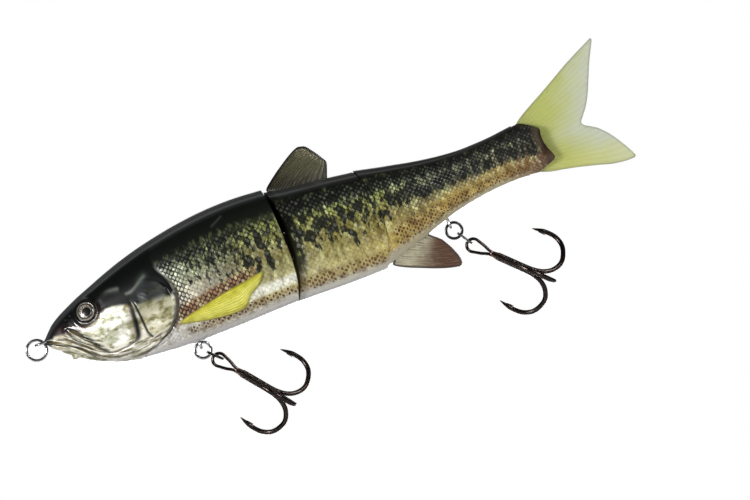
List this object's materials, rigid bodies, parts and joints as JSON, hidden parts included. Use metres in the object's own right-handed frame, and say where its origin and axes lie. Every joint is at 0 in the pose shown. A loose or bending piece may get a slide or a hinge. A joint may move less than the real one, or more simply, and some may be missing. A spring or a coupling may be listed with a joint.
{
  "type": "swimbait",
  "caption": "Jointed hard-body fishing lure shaped like a small bass: rigid painted sections on vertical hinge pins, soft tail fin, treble hooks on linked split rings.",
  "frame": {"origin": "centre of the wire line-tie eye at the nose, in the centre plane", "axes": "+X from nose to tail along the body, +Z dorsal (up), -Y the lure's left flank"},
  "size_m": [0.1956, 0.0277, 0.0785],
  "materials": {
    "painted_body": "hard plastic painted as a bass: black back, olive scales, silver cheek, pale belly, clear gloss coat",
    "fin_soft": "soft olive-brown fin with moulded rays",
    "pectoral_soft": "soft yellow-green fin with moulded rays",
    "tail_soft": "translucent pale yellow-green soft plastic with fine rays",
    "eye_lens": "clear domed eye over a silver-brown iris and a dark pupil",
    "ring_steel": "bright stainless spring wire",
    "hook_steel": "black-nickel plated high-carbon steel",
    "steel_wire": "drawn stainless wire",
    "ballast_metal": "dull cast weight",
    "hinge_plastic": "dark moulded nylon"
  },
  "bodies": {
    "head": {"head_shell_left": "painted_body", "head_shell_right": "painted_body", "line_tie_wire": "steel_wire", "eye_left": "eye_lens", "eye_right": "eye_lens", "pectoral_fin_left": "pectoral_soft", "pectoral_fin_right": "pectoral_soft", "front_hook_hanger": "steel_wire", "head_ballast_weight": "ballast_metal", "front_hinge_tongue": "hinge_plastic"},
    "nose_ring": {"nose_split_ring": "ring_steel"},
    "mid_body": {"mid_shell_left": "painted_body", "mid_shell_right": "painted_body", "front_hinge_pin": "steel_wire", "dorsal_fin": "fin_soft", "mid_ballast_weight": "ballast_metal", "rear_hinge_tongue": "hinge_plastic"},
    "rear_body": {"rear_shell_left": "painted_body", "rear_shell_right": "painted_body", "rear_hinge_pin": "steel_wire", "anal_fin": "fin_soft", "rear_hook_hanger": "steel_wire", "tail_fin_tab": "tail_soft", "tail_fin_pin": "steel_wire"},
    "tail_blade": {"tail_fin_blade": "tail_soft"},
    "front_ring_upper": {"front_split_ring_upper": "ring_steel"},
    "front_ring_lower": {"front_split_ring_lower": "ring_steel"},
    "front_hook": {"front_treble_hook": "hook_steel"},
    "rear_ring_upper": {"rear_split_ring_upper": "ring_steel"},
    "rear_ring_lower": {"rear_split_ring_lower": "ring_steel"},
    "rear_hook": {"rear_treble_hook": "hook_steel"}
  },
  "joints": [
    {"name": "nose_ring_swing", "type": "hinge", "parent": "head", "child": "nose_ring", "pos_m": [-0.00175, 0, 0], "axis": [0, 1, 0], "range_deg": [-5, 140]},
    {"name": "front_body_hinge", "type": "hinge", "parent": "head", "child": "mid_body", "pos_m": [0.0938, 0, 0], "axis": [0, 0, 1], "range_deg": [-25, 25]},
    {"name": "rear_body_hinge", "type": "hinge", "parent": "mid_body", "child": "rear_body", "pos_m": [0.1208, 0, 0], "axis": [0, 0, 1], "range_deg": [-25, 25]},
    {"name": "tail_flex", "type": "hinge", "parent": "rear_body", "child": "tail_blade", "pos_m": [0.1636, 0, 0], "axis": [0, 0, 1], "range_deg": [-20, 20], "stiffness_Nm_per_rad": 0.004},
    {"name": "front_ring_upper_swing", "type": "hinge", "parent": "head", "child": "front_ring_upper", "pos_m": [0.0449, 0, -0.0193], "axis": [0, 1, 0], "range_deg": [-10, 40]},
    {"name": "front_ring_lower_swing", "type": "hinge", "parent": "front_ring_upper", "child": "front_ring_lower", "pos_m": [0.04682, 0, -0.02175], "axis": [0.7141, 0, 0.7001], "range_deg": [-30, 30]},
    {"name": "front_hook_swing", "type": "hinge", "parent": "front_ring_lower", "child": "front_hook", "pos_m": [0.04965, 0, -0.02464], "axis": [0, 1, 0], "range_deg": [-15, 55]},
    {"name": "rear_ring_upper_swing", "type": "hinge", "parent": "rear_body", "child": "rear_ring_upper", "pos_m": [0.129, 0, -0.01315], "axis": [0, 1, 0], "range_deg": [-10, 15]},
    {"name": "rear_ring_lower_swing", "type": "hinge", "parent": "rear_ring_upper", "child": "rear_ring_lower", "pos_m": [0.13095, 0, -0.01633], "axis": [0.848, 0, 0.53], "range_deg": [-30, 30]},
    {"name": "rear_hook_swing", "type": "hinge", "parent": "rear_ring_lower", "child": "rear_hook", "pos_m": [0.13309, 0, -0.01976], "axis": [0, 1, 0], "range_deg": [-15, 35]}
  ]
}
